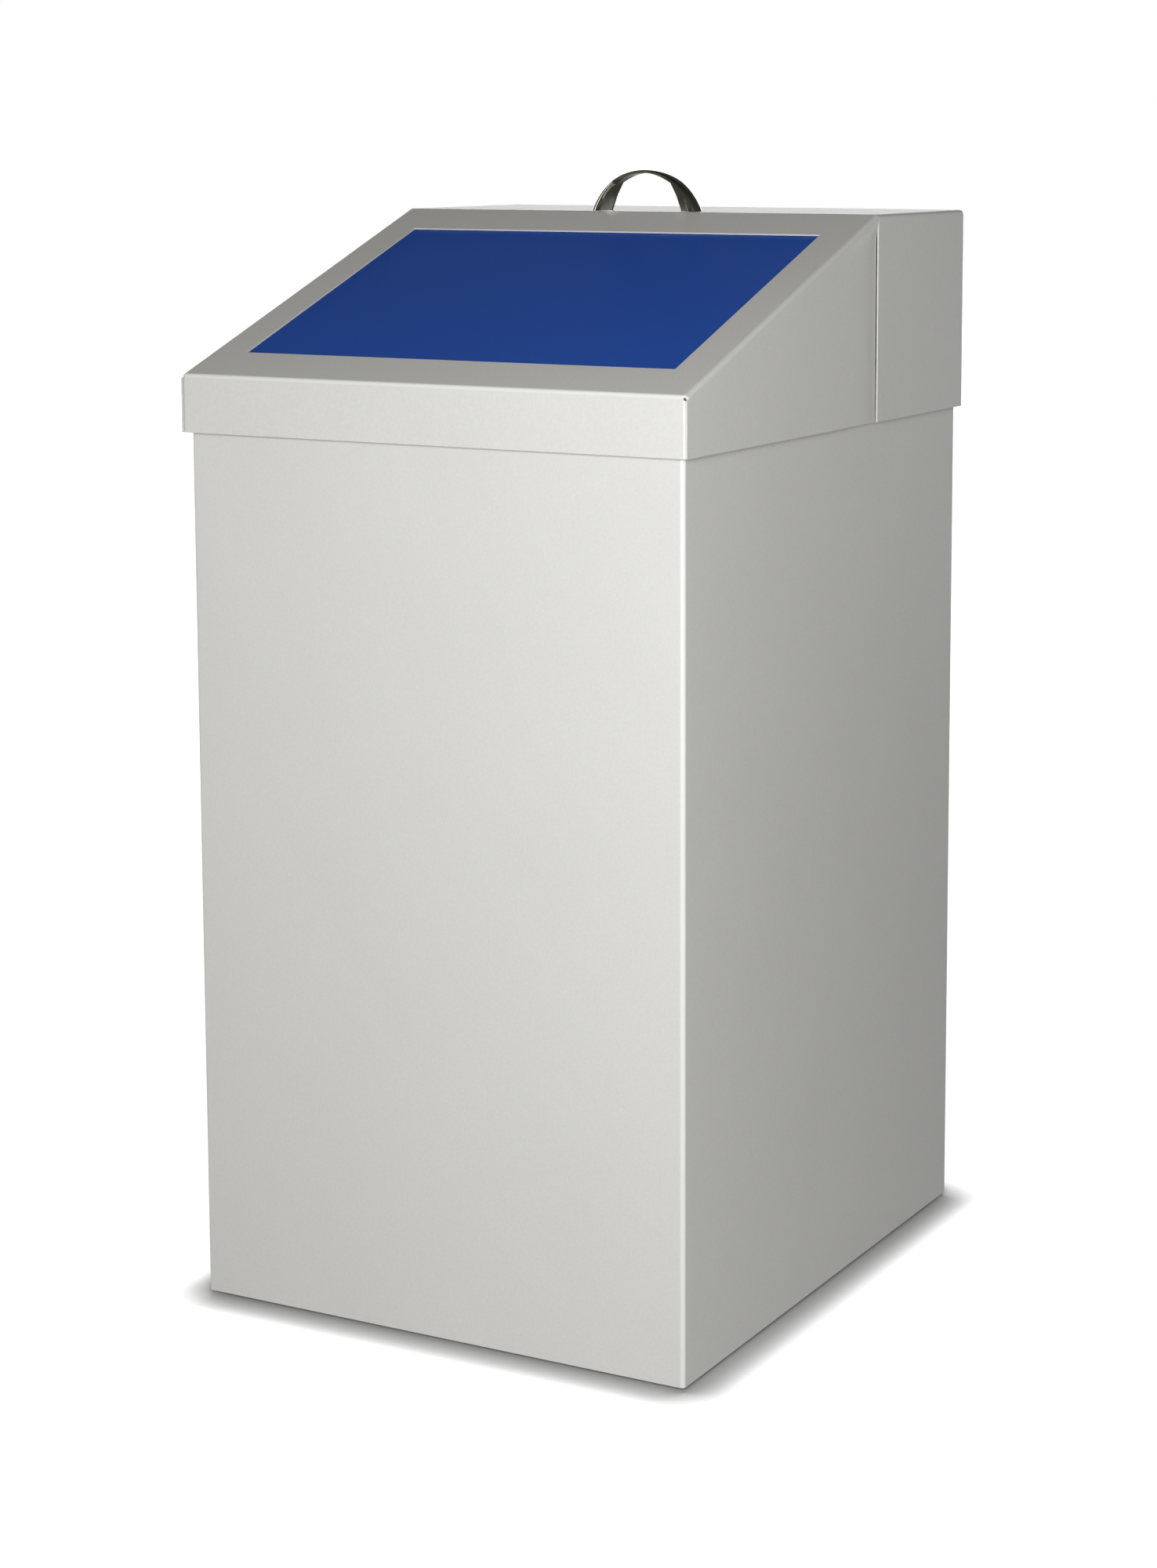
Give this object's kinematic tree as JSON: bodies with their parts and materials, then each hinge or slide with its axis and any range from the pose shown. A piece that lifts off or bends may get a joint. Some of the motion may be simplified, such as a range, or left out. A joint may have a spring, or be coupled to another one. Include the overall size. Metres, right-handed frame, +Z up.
{
  "type": "book drop box",
  "caption": "Free-standing folded steel deposit box with a sloping lift-off hood, a sprung push flap, a bow handle and a lift-out metal liner.",
  "frame": {"origin": "on the floor, under the middle of the hood's outline", "axes": "+X to the right seen from the front, +Y to the rear (the flap's low front edge faces -Y), +Z up"},
  "size_m": [0.348, 0.398, 0.706],
  "materials": {
    "silver_paint": "fine-textured light silver-grey powder coat",
    "blue_paint": "smooth saturated blue powder coat",
    "galvanised": "galvanised sheet with a faint spangle",
    "bright_steel": "zinc-plated steel",
    "chrome": "polished chrome plate",
    "rubber": "matt black rubber",
    "nylon": "natural nylon"
  },
  "bodies": {
    "case": {"body_shell": "silver_paint", "rear_panel": "silver_paint", "base_pan": "silver_paint", "foot_pads": "rubber"},
    "hood": {"hood_shell": "silver_paint", "ledge_left": "silver_paint", "ledge_right": "silver_paint", "ledge_rear": "silver_paint", "hinge_bracket_left": "silver_paint", "hinge_bracket_right": "silver_paint", "hinge_rod": "bright_steel", "rod_clips": "bright_steel", "torsion_spring_left": "bright_steel", "torsion_spring_right": "bright_steel", "bow_handle": "chrome", "handle_screws": "bright_steel", "handle_washers": "bright_steel"},
    "flap": {"flap_panel": "blue_paint", "flap_bush_left": "nylon", "flap_bush_right": "nylon"},
    "liner": {"liner_shell": "galvanised", "liner_base": "galvanised", "drop_mat": "rubber", "strap_ears_left": "galvanised", "strap_ears_right": "galvanised", "ear_rivets": "bright_steel"},
    "left_grip": {"grip_left": "bright_steel"},
    "right_grip": {"grip_right": "bright_steel"}
  },
  "joints": [
    {"name": "hood_lift", "type": "slide", "parent": "case", "child": "hood", "axis": [0, 0, 1], "range_m": [0, 1.3]},
    {"name": "flap_swing", "type": "hinge", "parent": "hood", "child": "flap", "pos_m": [0, 0.03479, 0.65927], "axis": [1, 0, 0], "range_deg": [0, 68], "stiffness_Nm_per_rad": 0.56, "springref_deg": -97.4, "deforming": ["torsion_spring_left", "torsion_spring_right"]},
    {"name": "liner_lift", "type": "slide", "parent": "case", "child": "liner", "axis": [0, 0, 1], "range_m": [0, 0.6]},
    {"name": "left_grip_swing", "type": "hinge", "parent": "liner", "child": "left_grip", "pos_m": [-0.15925, 0, 0.526], "axis": [0, -1, 0], "range_deg": [0, 180]},
    {"name": "right_grip_swing", "type": "hinge", "parent": "liner", "child": "right_grip", "pos_m": [0.15925, 0, 0.526], "axis": [0, 1, 0], "range_deg": [0, 180]}
  ],
  "couplings": [
    {"joint": "liner_lift", "follows": "hood_lift", "ratio": 0.46}
  ]
}
